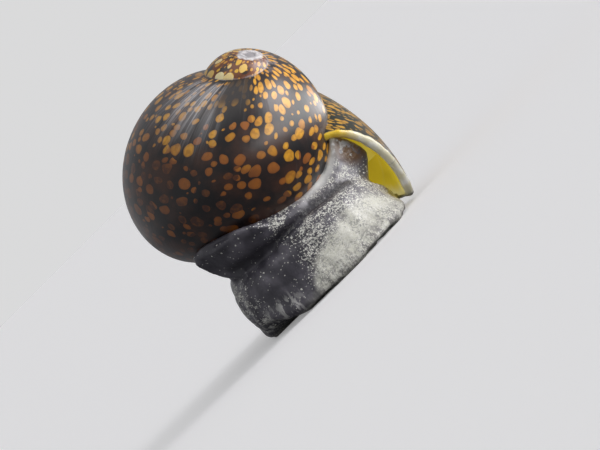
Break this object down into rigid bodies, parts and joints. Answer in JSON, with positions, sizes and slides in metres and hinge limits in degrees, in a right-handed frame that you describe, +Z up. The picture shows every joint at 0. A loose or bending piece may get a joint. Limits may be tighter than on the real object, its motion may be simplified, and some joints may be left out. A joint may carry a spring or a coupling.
{
  "type": "nerite snail",
  "caption": "Still life-size nerite snail: globular spotted shell with a worn low spire and pale lip, operculum, broad flat foot, snout, feelers and eyes on short stalks.",
  "frame": {"origin": "middle of the sole on the floor", "axes": "+Y the way the snail heads, +X its right side, +Z up"},
  "size_m": [0.0219, 0.0345, 0.0234],
  "materials": {
    "shell": "glossy dark brown shell with amber spots, fine growth lines and a worn whitish apex",
    "lip": "smooth cream to yellow shell edge",
    "callus": "smooth pale enamel of the inner shelf",
    "operculum": "satin grey-brown limy plate with curved growth lines",
    "flesh": "moist slate-grey skin with fine pale grains",
    "eye": "glossy black"
  },
  "bodies": {
    "root": {"shell_spire": "shell", "shell_body_whorl": "shell", "shell_last_whorl": "shell", "shell_lip": "lip", "shell_deck": "callus", "operculum": "operculum", "operculum_lobe": "flesh", "body_column": "flesh", "mantle_collar": "flesh", "foot_rear": "flesh", "foot_middle": "flesh", "foot_front": "flesh", "neck": "flesh", "head": "flesh", "snout": "flesh", "tentacle_left_base": "flesh", "tentacle_left_tip": "flesh", "eye_stalk_left": "flesh", "eye_left": "eye", "tentacle_right_base": "flesh", "tentacle_right_tip": "flesh", "eye_stalk_right": "flesh", "eye_right": "eye"}
  },
  "joints": []
}
